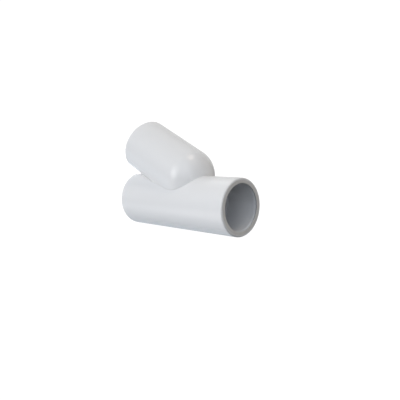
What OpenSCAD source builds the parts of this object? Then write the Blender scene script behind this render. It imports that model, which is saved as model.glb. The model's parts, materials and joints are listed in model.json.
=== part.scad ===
// Lateral pipe wye: a straight run with a branch of the same diameter at a shallow angle.
// The branch sits on the run, and its blind end is closed by a hemispherical heel.
// The origin is where the two centrelines meet. +X points out of the front mouth, +Z is up.

/* [Tubes] */
// Outside diameter of the run, the branch and the heel
tube_od = 33.5; // [32:0.5:36]
// Thickness of the white outer shell
shell_t = 1.2; // [1.0:0.1:1.4]
// Radius of the rounded outer edge at each mouth
edge_round = 1.0; // [0.4:0.1:1.0]

/* [Run] */
// Length from the origin to the front mouth
front_reach = 7.5; // [5:0.5:15]
// Length from the origin to the rear mouth
rear_reach = 81.5; // [81:0.5:100]

/* [Branch] */
// Angle between the branch and the run, in degrees
branch_angle = 25; // [25:0.5:28]
// Length of the branch from the centre of its heel to its mouth
branch_len = 44.1; // [43:0.1:60]

/* [Sockets] */
// Diameter of the three sockets
socket_d = 26.8; // [26.6:0.1:27.0]
// Depth of the run's two sockets, from the mouth to the stop ring
run_socket_depth = 22; // [20:0.5:22.5]
// Depth of the branch's socket, which ends above the run's rear socket
branch_socket_depth = 19; // [18:0.5:20]
// Diameter of the groove between the end ring and the lead-in
groove_d = 28.6; // [28.2:0.1:29.0]
// Width of the groove
groove_w = 0.6; // [0.3:0.1:1.0]
// Length of the lead-in, which slopes from the groove to the socket
lead_in_len = 0.6; // [0.4:0.1:1.5]

/* [End rings] */
// Inside diameter of the ring that covers the end of the core at each mouth
end_ring_d = 27.4; // [27.2:0.1:27.8]
// Thickness of the end ring
end_ring_t = 0.6; // [0.5:0.05:1.0]
// Thickness left at the end ring's inner lip, in front of its hidden bevel
end_ring_lip = 0.35; // [0.2:0.05:0.45]

/* [Waterway] */
// Diameter of the waterway between the sockets
waterway_d = 24.6; // [24.0:0.1:24.8]
// Inside diameter of the stop rings
stop_d = 22; // [21:0.5:23]
// Length of each stop ring
stop_len = 3; // [2:0.5:3.5]

/* [Joints] */
// Thickness of the cement between the run and the branch
cement_t = 0.3; // [0.2:0.1:0.4]
// How far the cement bead stands out around the foot of the branch
bead_w = 0.5; // [0.3:0.1:0.8]
// Length of the heel's spigot inside the branch
spigot_len = 4; // [3:0.5:6]
// Wall of the heel's spigot
spigot_t = 1.6; // [1.2:0.1:2.0]

/* [Hidden] */
$fn = 96;
tube_r = tube_od / 2;
core_r = tube_r - shell_t;
socket_r = socket_d / 2;
groove_r = groove_d / 2;
end_ring_r = end_ring_d / 2;
waterway_r = waterway_d / 2;
stop_r = stop_d / 2;
spigot_r = waterway_r + spigot_t;
saddle_r = tube_r + cement_t;
run_len = front_reach + rear_reach;
// The heel's centre lies on the run's top line, so that half of the heel stands above it.
heel_dist = tube_r / sin(branch_angle);
// How far a cutting tool reaches past the face that it cuts
clear = 5;

// ---- Places ----

// Puts Z along the run, from the front mouth backwards.
module from_front_mouth() {
    translate([front_reach, 0, 0]) rotate([0, -90, 0]) children();
}

// Puts Z along the run, from the rear mouth forwards.
module from_rear_mouth() {
    translate([-rear_reach, 0, 0]) rotate([0, 90, 0]) children();
}

// Puts Z along the branch, from the heel's centre towards the branch's mouth.
module from_heel_centre() {
    rotate([0, branch_angle - 90, 0]) translate([0, 0, heel_dist]) children();
}

// Puts Z along the branch, from its mouth down towards the heel.
module from_branch_mouth() {
    from_heel_centre() translate([0, 0, branch_len]) rotate([180, 0, 0]) children();
}

// ---- Half profiles: X is the radius, Y runs along the axis ----

// A straight tube wall between two radii, starting at y = 0.
module wall_profile(inner, outer, length) {
    translate([inner, 0]) square([outer - inner, length]);
}

// Outline of a solid rod with its outer edge rounded at y = 0.
module rounded_end_profile(length) {
    square([tube_r - edge_round, length]);
    translate([0, edge_round]) square([tube_r, length - edge_round]);
    translate([tube_r - edge_round, edge_round]) circle(r = edge_round);
}

// A quarter disc below y = 0, the half profile of a hemisphere.
module quarter_disc(radius) {
    intersection() {
        circle(r = radius);
        translate([0, -radius]) square([radius, radius]);
    }
}

// What is cut out of a core from its mouth: the end ring's seat, groove, lead-in, socket, waterway.
module socket_space_profile(depth, length) {
    lead_in_start = end_ring_t + groove_w;
    polygon([
        [0, -clear], [tube_r, -clear], [tube_r, end_ring_t], [groove_r, end_ring_t],
        [groove_r, lead_in_start], [socket_r, lead_in_start + lead_in_len], [socket_r, depth],
        [waterway_r, depth], [waterway_r, length], [0, length]
    ]);
}

// ---- Spaces that are cut away ----

// The branch's whole bore: its socket, its waterway and the round hollow inside the heel.
module branch_bore() {
    from_heel_centre() rotate_extrude() {
        quarter_disc(waterway_r);
        square([waterway_r, branch_len]);
        translate([0, branch_len - branch_socket_depth]) square([socket_r, branch_socket_depth]);
    }
}

// The run and its cement, which the branch and the heel are coped around.
module run_envelope() {
    from_front_mouth() translate([0, 0, -clear]) cylinder(r = saddle_r, h = run_len + 2 * clear);
}

// ---- Run ----

module run_shell() {
    color("white") difference() {
        from_front_mouth() rotate_extrude() intersection() {
            wall_profile(core_r, tube_r, run_len);
            rounded_end_profile(run_len);
            translate([0, run_len]) mirror([0, 1]) rounded_end_profile(run_len);
        }
        branch_bore();
    }
}

module run_core() {
    color("lightgray") difference() {
        from_front_mouth() rotate_extrude() difference() {
            wall_profile(0, core_r, run_len);
            socket_space_profile(run_socket_depth, run_len / 2);
            translate([0, run_len]) mirror([0, 1]) socket_space_profile(run_socket_depth, run_len / 2);
        }
        branch_bore();
    }
}

// ---- Branch ----

module branch_shell() {
    color("white") difference() {
        from_branch_mouth() rotate_extrude() intersection() {
            wall_profile(core_r, tube_r, branch_len);
            rounded_end_profile(branch_len);
        }
        run_envelope();
    }
}

module branch_core() {
    color("lightgray") difference() {
        from_branch_mouth() rotate_extrude() difference() {
            wall_profile(0, core_r, branch_len);
            socket_space_profile(branch_socket_depth, branch_len + clear);
            translate([0, branch_len - spigot_len]) square([spigot_r, spigot_len + clear]);
        }
        run_envelope();
    }
}

// ---- Heel ----

module heel_shell() {
    color("white") difference() {
        from_heel_centre() rotate_extrude() difference() {
            quarter_disc(tube_r);
            circle(r = core_r);
        }
        run_envelope();
    }
}

module heel_core() {
    color("lightgray") difference() {
        from_heel_centre() rotate_extrude() difference() {
            union() {
                quarter_disc(core_r);
                square([spigot_r, spigot_len]);
            }
            quarter_disc(waterway_r);
            square([waterway_r, spigot_len]);
        }
        run_envelope();
    }
}

// ---- End rings ----

// A flat ring that covers the end of the core inside the shell. Its lip is bevelled on the hidden side.
module end_ring() {
    color("darkgray") rotate_extrude() polygon([
        [end_ring_r, 0], [core_r, 0], [core_r, end_ring_t], [groove_r, end_ring_t],
        [end_ring_r, end_ring_lip]
    ]);
}

module front_end_ring() {
    from_front_mouth() end_ring();
}

module rear_end_ring() {
    from_rear_mouth() end_ring();
}

module branch_end_ring() {
    from_branch_mouth() end_ring();
}

// ---- Stop rings ----

// A ring whose flat side stops the pipe, bevelled on the side towards the waterway.
module stop_ring(depth) {
    land = stop_len - (waterway_r - stop_r);
    color("gainsboro") translate([0, 0, depth]) rotate_extrude() polygon([
        [stop_r, 0], [waterway_r, 0], [waterway_r, stop_len], [stop_r, land]
    ]);
}

module front_stop_ring() {
    from_front_mouth() stop_ring(run_socket_depth);
}

module rear_stop_ring() {
    from_rear_mouth() stop_ring(run_socket_depth);
}

module branch_stop_ring() {
    from_branch_mouth() stop_ring(branch_socket_depth);
}

// ---- Cement ----

// The bed between the run and the branch, with a thin bead around the branch's foot.
module saddle_cement() {
    color("ivory") difference() {
        intersection() {
            run_envelope();
            from_heel_centre() rotate_extrude() {
                quarter_disc(tube_r + bead_w);
                square([tube_r + bead_w, branch_len - edge_round]);
            }
        }
        from_front_mouth() cylinder(r = tube_r, h = run_len);
        branch_bore();
    }
}

run_shell();
run_core();
branch_shell();
branch_core();
heel_shell();
heel_core();
front_end_ring();
rear_end_ring();
branch_end_ring();
front_stop_ring();
rear_stop_ring();
branch_stop_ring();
saddle_cement();
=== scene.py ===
import json
import math

import bmesh
import bpy
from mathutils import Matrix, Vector


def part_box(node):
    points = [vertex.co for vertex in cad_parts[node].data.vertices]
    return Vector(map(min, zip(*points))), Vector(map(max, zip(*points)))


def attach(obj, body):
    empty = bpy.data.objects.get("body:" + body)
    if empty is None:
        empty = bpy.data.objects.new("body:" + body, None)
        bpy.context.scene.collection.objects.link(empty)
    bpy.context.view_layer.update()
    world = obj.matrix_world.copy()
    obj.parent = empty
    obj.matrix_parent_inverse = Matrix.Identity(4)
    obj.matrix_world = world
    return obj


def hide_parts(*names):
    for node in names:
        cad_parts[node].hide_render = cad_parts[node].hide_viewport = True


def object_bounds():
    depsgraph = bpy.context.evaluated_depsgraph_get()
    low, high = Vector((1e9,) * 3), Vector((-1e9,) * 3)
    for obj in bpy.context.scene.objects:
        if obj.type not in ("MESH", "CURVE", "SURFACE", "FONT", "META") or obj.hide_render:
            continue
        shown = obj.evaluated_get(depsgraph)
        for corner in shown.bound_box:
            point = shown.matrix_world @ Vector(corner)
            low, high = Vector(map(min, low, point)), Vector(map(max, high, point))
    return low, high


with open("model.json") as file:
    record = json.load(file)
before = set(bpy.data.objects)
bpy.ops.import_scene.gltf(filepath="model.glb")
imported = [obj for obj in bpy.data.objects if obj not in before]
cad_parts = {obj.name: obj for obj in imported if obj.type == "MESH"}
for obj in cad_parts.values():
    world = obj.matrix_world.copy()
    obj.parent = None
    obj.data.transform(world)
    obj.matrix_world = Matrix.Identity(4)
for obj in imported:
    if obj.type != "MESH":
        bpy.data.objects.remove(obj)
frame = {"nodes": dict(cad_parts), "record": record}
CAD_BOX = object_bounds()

# ---------------------------------------------------------------- sizes, in metres

MM = 0.001
MOUNTS = {m["name"]: m for m in frame["record"]["mounts"]}
RUN_DIR = Vector(MOUNTS["front_socket"]["axis"]).normalized()
BRANCH_DIR = Vector(MOUNTS["branch_socket"]["axis"]).normalized()


def half_width(node):
    """Half of a node's size along Y, which is the radius of a round piece."""
    low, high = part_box(node)
    return (high.y - low.y) / 2


TUBE_R = half_width("run_shell")
CORE_R = half_width("run_core")
WATERWAY_R = half_width("front_stop_ring")
# The heel's centre lies on the branch's axis, level with the run's top line.
HEEL = BRANCH_DIR * (TUBE_R / BRANCH_DIR.z)

# The mouths, as distances from the origin along the run's and the branch's directions.
FRONT_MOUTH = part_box("run_shell")[1].x
REAR_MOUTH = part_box("run_shell")[0].x
BRANCH_MOUTH = (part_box("branch_end_ring")[1].z + CORE_R * BRANCH_DIR.x) / BRANCH_DIR.z
# Each socket's bore starts where its lead-in ends.
REAR_BORE = MOUNTS["rear_socket"]
SOCKET_R = REAR_BORE["dims"]["r_mm"] * MM
LEAD_IN = REAR_BORE["pos_m"][0] - REAR_BORE["dims"]["length_mm"] * MM / 2 - REAR_MOUTH

BED = 0.3 * MM          # thickness of the cement under the branch
BEAD = 0.5 * MM         # radius of the fillet that the cement makes around it
BEAD_WAVE = 0.12        # how much the fillet's radius varies, as a share of it
TUCK = 0.05 * MM        # how far the bed's top edge stays inside the branch's outline
FOOT_IN = 0.05          # share of the way from the crease to the bore where the bed's underside bends


# ---------------------------------------------------------------- node helpers

class Shader:
    """A material with one Principled shader, and short ways to add nodes to it.

    axis is the line through the origin that the piece is turned about."""

    def __init__(self, name, axis=RUN_DIR):
        self.material = bpy.data.materials.new(name)
        self.material.use_nodes = True
        self.tree = self.material.node_tree
        self.principled = self.tree.nodes["Principled BSDF"]
        self.axis = axis
        self.here = self.node("ShaderNodeTexCoord").outputs["Object"]

    def node(self, kind, links=None, **settings):
        """Adds a node. links are values or sockets for its inputs; settings are its own settings."""
        made = self.tree.nodes.new(kind)
        for name, value in settings.items():
            setattr(made, name, value)
        for name, value in (links or {}).items():
            self.feed(made.inputs[name], value)
        return made

    def feed(self, socket, value):
        """Links a socket to an input, or sets the input to a value."""
        if isinstance(value, bpy.types.NodeSocket):
            self.tree.links.new(value, socket)
        else:
            socket.default_value = value

    def math(self, operation, first, second=0.0):
        return self.node("ShaderNodeMath", {0: first, 1: second}, operation=operation).outputs[0]

    def along(self):
        """How far a point is along the axis, in metres."""
        return self.node("ShaderNodeVectorMath", {0: self.here, 1: self.axis},
                         operation="DOT_PRODUCT").outputs["Value"]

    def radius(self):
        """How far a point is from the axis, in metres."""
        arm = self.node("ShaderNodeVectorMath", {0: self.here, 1: self.axis},
                        operation="CROSS_PRODUCT")
        return self.node("ShaderNodeVectorMath", {0: arm.outputs["Vector"]},
                         operation="LENGTH").outputs["Value"]

    def drawn_out(self, keep):
        """The point with its distance along the axis times keep.

        A keep below 1 stretches a pattern along the axis."""
        less = self.math("MULTIPLY", self.along(), keep - 1)
        shift = self.node("ShaderNodeVectorMath", {0: self.axis, "Scale": less}, operation="SCALE")
        return self.node("ShaderNodeVectorMath", {0: self.here, 1: shift.outputs["Vector"]},
                         operation="ADD").outputs["Vector"]

    def noise(self, scale, vector=None, detail=4.0, roughness=0.55):
        """Noise at a point. Its largest patches are about 1 / scale metres across."""
        return self.node("ShaderNodeTexNoise",
                         {"Vector": vector or self.here, "Scale": scale, "Detail": detail,
                          "Roughness": roughness}).outputs["Fac"]

    def rings(self, distance, scale):
        """Noise that varies only with a distance, such as the rings that turning leaves."""
        return self.node("ShaderNodeTexNoise", {"W": distance, "Scale": scale, "Detail": 3.0},
                         noise_dimensions="1D").outputs["Fac"]

    def spread(self, value, low, high, from_low=0.3, from_high=0.7):
        """Maps a noise value from its usual span to low..high."""
        return self.node("ShaderNodeMapRange",
                         {"Value": value, "From Min": from_low, "From Max": from_high,
                          "To Min": low, "To Max": high}).outputs["Result"]

    def blend(self, factor, first, second):
        mixed = self.node("ShaderNodeMix", {0: factor, 6: first, 7: second}, data_type="RGBA")
        return mixed.outputs[2]

    def mottled(self, pattern, colour, depth):
        """A colour that a pattern darkens and lightens by depth, a share of the colour."""
        return self.blend(self.spread(pattern, 0, 1), shade(colour, 1 - depth),
                          shade(colour, 1 + depth))

    def bump(self, height, distance):
        return self.node("ShaderNodeBump", {"Height": height, "Distance": distance}).outputs["Normal"]

    def finish(self, **sockets):
        """Sets or links the shader's sockets, and gives the material back."""
        for name, value in sockets.items():
            self.feed(self.principled.inputs[name.replace("_", " ")], value)
        return self.material


def shade(colour, times=1.0):
    """A colour made lighter or darker, with the alpha value that a shader's socket needs."""
    return tuple(min(1.0, c * times) for c in colour) + (1,)


# ---------------------------------------------------------------- materials

# Base colours, in linear light
WHITE = (0.797, 0.809, 0.824)
SCUFFED = (0.73, 0.73, 0.72)
BORE_GREY = (0.592, 0.612, 0.642)
# The next grey is painted shade: it stands in for the shadow in the groove behind each mouth's lip.
GROOVE_SHADE_GREY = (0.30, 0.31, 0.33)
FACE_GREY = (0.668, 0.666, 0.655)
STOP_GREY = (0.56, 0.57, 0.59)
CEMENT = (0.70, 0.71, 0.72)
IOR = 1.5

# The groove's painted shade fades in between these radii, just outside the socket's own radius.
GROOVE_SHADE_FROM = SOCKET_R + 0.75 * MM
GROOVE_SHADE_FULL = SOCKET_R + 0.88 * MM


def white_plastic(name, axis):
    """Moulded white plastic, clean and new: an even soft gloss with a few small dull scuffs."""
    s = Shader(name, axis)
    cloud = s.noise(14, detail=1)
    flecks = s.noise(420, s.drawn_out(0.3), detail=6, roughness=0.7)
    scuff = s.spread(flecks, 0, 1, from_low=0.72, from_high=0.85)
    tone = s.mottled(cloud, WHITE, 0.008)
    tone = s.blend(s.math("MULTIPLY", scuff, 0.25), tone, shade(SCUFFED))
    gloss = s.spread(scuff, 0.22, 0.36, from_low=0, from_high=1)
    return s.finish(Base_Color=tone, Roughness=gloss, Normal=s.bump(scuff, 0.004 * MM), IOR=IOR)


def grey_plastic(name, axis, mouths):
    """Grey plastic of a core, faintly streaked along the bore, with painted shade darkening the
    groove behind each lip.

    mouths are the distances along the axis of its open ends."""
    s = Shader(name, axis)
    near = 0.0
    for mouth in mouths:
        gap = s.math("ABSOLUTE", s.math("SUBTRACT", s.along(), mouth))
        near = s.math("MAXIMUM", near, s.math("LESS_THAN", gap, LEAD_IN))
    deep = s.spread(s.radius(), 0, 1, from_low=GROOVE_SHADE_FROM, from_high=GROOVE_SHADE_FULL)
    # Painted shade: this mask darkens the groove just inside each mouth, where the lip shades it.
    painted_shade = s.math("MULTIPLY", near, deep)
    streak = s.noise(900, s.drawn_out(0.05), detail=3)
    cloud = s.noise(120, detail=3)
    tone = s.mottled(streak, BORE_GREY, 0.015)
    tone = s.blend(painted_shade, tone, shade(GROOVE_SHADE_GREY))
    gloss = s.spread(cloud, 0.30, 0.36)
    skin = s.bump(streak, 0.003 * MM)
    return s.finish(Base_Color=tone, Roughness=gloss, Normal=skin, IOR=IOR)


def faced_plastic(name, axis):
    """Warm grey plastic of an end ring, faced flat: fine turning rings and a dull mottle."""
    s = Shader(name, axis)
    mottle = s.noise(260, detail=5)
    rings = s.rings(s.radius(), 6500)
    tone = s.mottled(mottle, FACE_GREY, 0.04)
    tone = s.blend(s.spread(rings, 0, 0.25), tone, shade(FACE_GREY, 0.92))
    gloss = s.spread(s.noise(700, detail=3), 0.46, 0.56)
    return s.finish(Base_Color=tone, Roughness=gloss, Normal=s.bump(rings, 0.010 * MM), IOR=IOR)


def ring_plastic(name, axis):
    """Grey plastic of a stop ring, moulded on its own, with a trace of the lathe on its faces."""
    s = Shader(name, axis)
    mottle = s.noise(320, detail=5)
    tone = s.mottled(mottle, STOP_GREY, 0.04)
    gloss = s.spread(s.noise(700, detail=3), 0.36, 0.48)
    skin = s.bump(s.rings(s.radius(), 5200), 0.006 * MM)
    return s.finish(Base_Color=tone, Roughness=gloss, Normal=skin, IOR=IOR)


def set_cement(name):
    """Cement that has set in the joint: off-white, slightly uneven and less glossy than the tube."""
    s = Shader(name)
    lumps = s.noise(520)
    tone = s.mottled(lumps, CEMENT, 0.03)
    gloss = s.spread(s.noise(900, detail=3), 0.50, 0.62)
    return s.finish(Base_Color=tone, Roughness=gloss, Normal=s.bump(lumps, 0.02 * MM), IOR=IOR)


def dress(material, *nodes):
    """Gives CAD nodes their material."""
    for node in nodes:
        mesh = frame["nodes"][node].data
        mesh.materials.clear()
        mesh.materials.append(material)


def dress_nodes():
    """Gives every CAD node its material, except the cement, which has its own mesh."""
    dress(white_plastic("run_white", RUN_DIR), "run_shell")
    dress(white_plastic("branch_white", BRANCH_DIR), "branch_shell", "heel_shell")
    dress(grey_plastic("run_grey", RUN_DIR, (FRONT_MOUTH, REAR_MOUTH)), "run_core")
    dress(grey_plastic("branch_grey", BRANCH_DIR, (BRANCH_MOUTH,)), "branch_core", "heel_core")
    dress(faced_plastic("run_end_grey", RUN_DIR), "front_end_ring", "rear_end_ring")
    dress(faced_plastic("branch_end_grey", BRANCH_DIR), "branch_end_ring")
    dress(ring_plastic("run_stop_grey", RUN_DIR), "front_stop_ring", "rear_stop_ring")
    dress(ring_plastic("branch_stop_grey", BRANCH_DIR), "branch_stop_ring")


# ---------------------------------------------------------------- the cement in the saddle

# The saddle runs from the front of the heel to the crotch, where the branch leaves the run.
CROTCH_X = -TUBE_R / math.tan(math.asin(BRANCH_DIR.z) / 2)
SADDLE_X = (HEEL.x + TUBE_R + CROTCH_X) / 2
SADDLE_STEPS = 300
FILLET_STEPS = 8
HALVINGS = 40           # steps of the search in branch_foot, which halves its span each time


def on_run(x, turn, radius=TUBE_R):
    """A point at a radius from the run's axis; turn is the angle from its top line."""
    return Vector((x, radius * math.sin(turn), radius * math.cos(turn)))


def run_normal(point):
    """The unit vector from the run's axis straight out to a point."""
    return Vector((0, point.y, point.z)).normalized()


def branch_offset(point):
    """From the branch's axis, or from the heel's centre below it, to a point."""
    arm = point - HEEL
    return arm - BRANCH_DIR * max(0.0, arm.dot(BRANCH_DIR))


def branch_foot(heading, distance, radius=TUBE_R):
    """Where a walk over the run, from under the branch, comes to a distance from the branch's axis.

    The walk starts on the run's top line, under the middle of the saddle, and keeps its heading."""
    near, far = 0.0, 4 * TUBE_R
    for _ in range(HALVINGS):
        middle = (near + far) / 2
        point = on_run(SADDLE_X + middle * math.cos(heading),
                       middle * math.sin(heading) / radius, radius)
        if branch_offset(point).length < distance:
            near = middle
        else:
            far = middle
    return point


def saddle_section(heading):
    """One cross-section through the bed and its fillet, as a closed list of points."""
    crease = branch_foot(heading, TUBE_R)
    run_out = run_normal(crease)
    branch_out = branch_offset(crease).normalized()
    tangent = run_out.cross(branch_out).normalized()
    over_run = tangent.cross(run_out)
    up_branch = branch_out.cross(tangent)
    opening = math.acos(max(-1.0, min(1.0, over_run.dot(up_branch))))
    wave = 1 + BEAD_WAVE * math.sin(7 * heading) * math.sin(3 * heading + 1)
    reach = BEAD * wave / math.tan(opening / 2)
    toe_run = crease + over_run * reach
    toe_run = Vector((toe_run.x, 0, 0)) + run_normal(toe_run) * TUBE_R
    toe_branch = crease + up_branch * reach
    arm = branch_offset(toe_branch)
    toe_branch += arm.normalized() * (TUBE_R - arm.length)
    fillet = []
    for i in range(FILLET_STEPS + 1):
        t = i / FILLET_STEPS
        fillet.append(toe_run * (1 - t) ** 2 + crease * 2 * t * (1 - t) + toe_branch * t ** 2)
    inside = branch_foot(heading, WATERWAY_R)
    top_inside = branch_foot(heading, WATERWAY_R, TUBE_R + BED)
    top_outside = branch_foot(heading, TUBE_R - TUCK, TUBE_R + BED)
    return [inside, crease.lerp(inside, FOOT_IN)] + fillet + [top_outside, top_inside]


def make_saddle_cement():
    """The cement's bed and fillet, as one closed ring of sections around the branch's foot."""
    bm = bmesh.new()
    rings = []
    for step in range(SADDLE_STEPS):
        points = saddle_section(2 * math.pi * step / SADDLE_STEPS)
        rings.append([bm.verts.new(p) for p in points])
    for here, after in zip(rings, rings[1:] + rings[:1]):
        for i in range(len(here)):
            j = (i + 1) % len(here)
            bm.faces.new((here[i], after[i], after[j], here[j]))
    bmesh.ops.recalc_face_normals(bm, faces=bm.faces)
    mesh = bpy.data.meshes.new("saddle_bead")
    bm.to_mesh(mesh)
    bm.free()
    for face in mesh.polygons:
        face.use_smooth = True
    bead = bpy.data.objects.new("saddle_bead", mesh)
    bpy.context.scene.collection.objects.link(bead)
    bead.data.materials.append(set_cement("cement"))
    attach(bead, "root")
    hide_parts("saddle_cement")


# ---------------------------------------------------------------- studio

def turned(azimuth, elevation):
    """The unit vector at an azimuth from +X towards +Y and an elevation, in degrees."""
    a, e = math.radians(azimuth), math.radians(elevation)
    return Vector((math.cos(a) * math.cos(e), math.sin(a) * math.cos(e), math.sin(e)))


def stage_mesh(name, mesh, material):
    """Adds a mesh to the studio, which isn't part of the fitting."""
    made = bpy.data.objects.new(name, mesh)
    bpy.context.scene.collection.objects.link(made)
    mesh.materials.append(material)
    return made


def lathe(name, profile, steps=96):
    """A surface of revolution about Z from a list of (radius, height)."""
    bm = bmesh.new()
    rings = []
    for radius, height in profile:
        rings.append([bm.verts.new((radius * math.cos(t), radius * math.sin(t), height))
                      for t in (2 * math.pi * i / steps for i in range(steps))])
    for inner, outer in zip(rings, rings[1:]):
        for i in range(steps):
            j = (i + 1) % steps
            bm.faces.new((inner[i], outer[i], outer[j], inner[j]))
    if profile[0][0] == 0:
        bmesh.ops.remove_doubles(bm, verts=bm.verts, dist=2 * MM)
    mesh = bpy.data.meshes.new(name)
    bm.to_mesh(mesh)
    bm.free()
    for face in mesh.polygons:
        face.use_smooth = True
    return mesh


FLOOR_Z = CAD_BOX[0][2] - 0.05 * MM
FLOOR_CENTRE_R = 0.3
FLOOR_R = 1.5
WALL_R = 2.5
WALL_H = 4.0


def make_studio():
    """A pale floor and a white wall all round it, which the light passes through."""
    pale = Shader("pale_floor")
    mottle = pale.blend(pale.noise(35, detail=6), shade((0.04, 0.04, 0.04)),
                        shade((0.05, 0.05, 0.05)))
    pale.finish(Base_Color=mottle, Roughness=0.9, Emission_Color=(1, 1, 1, 1),
                Emission_Strength=1.0)
    disc = lathe("studio_floor", [(0, FLOOR_Z), (FLOOR_CENTRE_R, FLOOR_Z), (FLOOR_R, FLOOR_Z)])
    floor = stage_mesh("studio_floor", disc, pale.material)
    white = Shader("white_wall")
    white.finish(Base_Color=(0, 0, 0, 1), Roughness=1.0, Emission_Color=(1, 1, 1, 1),
                 Emission_Strength=1.05)
    corner = WALL_R - FLOOR_R
    curve = [(FLOOR_R + corner * math.sin(t), FLOOR_Z + corner * (1 - math.cos(t)))
             for t in (math.radians(a) for a in range(0, 91, 6))]
    ring = lathe("studio_wall", curve + [(WALL_R, WALL_H)])
    wall = stage_mesh("studio_wall", ring, white.material)
    for made in (floor, wall):
        made.visible_diffuse = False
        made.visible_glossy = False
        made.visible_shadow = False


def far_light(name, azimuth, elevation, width, strength, colour):
    """A distant soft light. width is the angle that it fills, in degrees; strength is relative."""
    lamp = bpy.data.lights.new(name, "SUN")
    lamp.angle = math.radians(width)
    lamp.energy = math.pi * strength
    lamp.color = colour
    made = bpy.data.objects.new(name, lamp)
    bpy.context.scene.collection.objects.link(made)
    made.rotation_euler = turned(azimuth, elevation).to_track_quat("Z", "Y").to_euler()


NEUTRAL = (1.0, 1.0, 1.0)
COOL = (0.84, 0.90, 1.0)
COLD = (0.75, 0.87, 1.0)
WARM = (1.0, 0.86, 0.70)


def light_studio():
    """The lights around the fitting: azimuth, elevation, width, strength and colour of each."""
    far_light("key_left", -103, 2, 30, 0.19, NEUTRAL)
    far_light("key_left_high", -105, 21, 30, 0.135, NEUTRAL)
    far_light("fill_left", -60, 32, 60, 0.215, COOL)
    far_light("front_high", 0, 60, 30, 0.05, WARM)
    far_light("front_top", 0, 77, 18, 0.11, WARM)
    far_light("top", 68, 77, 8, 0.025, (1.0, 0.92, 0.86))
    far_light("window", 161, 43, 14, 0.015, NEUTRAL)
    far_light("behind", 154, 5, 30, 0.29, (1.0, 0.95, 0.97))
    far_light("behind_low", 180, 5, 30, 0.14, WARM)
    far_light("behind_high", 135, 35, 80, 0.20, NEUTRAL)
    far_light("under_behind", 180, -35, 80, 0.25, COLD)
    far_light("under_far", 90, -25, 30, 0.12, COOL)
    far_light("right", 54, 15, 80, 0.08, WARM)
    far_light("front_left", -46, 8, 50, 0.12, (1.0, 0.98, 0.97))
    far_light("under_left", -126, -30, 40, 0.12, (1.0, 0.92, 0.88))
    surround()


SURROUND_COLOUR = (0.96, 0.98, 1.0, 1)
SURROUND_STRENGTH = 0.29
# The surround is black near this direction, and grows to its full strength further from it.
DARK_TOWARDS = (10, -50)    # azimuth and elevation, in degrees
DARK_WITHIN = 25            # degrees from that direction
BRIGHT_BEYOND = 75          # degrees from that direction


def surround():
    """An even grey-white surround, dark low down in front of the mouth."""
    world = bpy.data.worlds.new("studio")
    bpy.context.scene.world = world
    world.use_nodes = True
    tree = world.node_tree
    where = tree.nodes.new("ShaderNodeTexCoord").outputs["Generated"]
    toward = tree.nodes.new("ShaderNodeVectorMath")
    toward.operation = "DOT_PRODUCT"
    tree.links.new(where, toward.inputs[0])
    toward.inputs[1].default_value = turned(*DARK_TOWARDS)
    strength = tree.nodes.new("ShaderNodeMapRange")
    strength.interpolation_type = "SMOOTHSTEP"
    strength.inputs["From Min"].default_value = math.cos(math.radians(BRIGHT_BEYOND))
    strength.inputs["From Max"].default_value = math.cos(math.radians(DARK_WITHIN))
    strength.inputs["To Min"].default_value = SURROUND_STRENGTH
    strength.inputs["To Max"].default_value = 0.0
    tree.links.new(toward.outputs["Value"], strength.inputs["Value"])
    back = tree.nodes["Background"]
    back.inputs["Color"].default_value = SURROUND_COLOUR
    tree.links.new(strength.outputs["Result"], back.inputs["Strength"])


# The camera stands level with the fitting, in front of the run's near mouth and to its side.
VIEW_AZIMUTH = 45.0
VIEW_ELEVATION = 5.4
VIEW_DISTANCE = 313.3 * MM
VIEW_AIM = Vector((-25.2, 0, 2.05)) * MM
VIEW_LENS = 47.0        # focal length in millimetres
SENSOR_WIDTH = 36.0     # millimetres
CLIP_NEAR = 0.01
CLIP_FAR = 20


def make_camera():
    camera = bpy.data.cameras.new("camera")
    camera.lens = VIEW_LENS
    camera.sensor_width = SENSOR_WIDTH
    camera.clip_start = CLIP_NEAR
    camera.clip_end = CLIP_FAR
    made = bpy.data.objects.new("camera", camera)
    bpy.context.scene.collection.objects.link(made)
    made.location = VIEW_AIM + turned(VIEW_AZIMUTH - 90, VIEW_ELEVATION) * VIEW_DISTANCE
    made.rotation_euler = (VIEW_AIM - made.location).to_track_quat("-Z", "Y").to_euler()
    bpy.context.scene.camera = made


make_camera()
dress_nodes()
make_saddle_cement()
make_studio()
light_studio()
bpy.context.scene.view_settings.view_transform = "Standard"
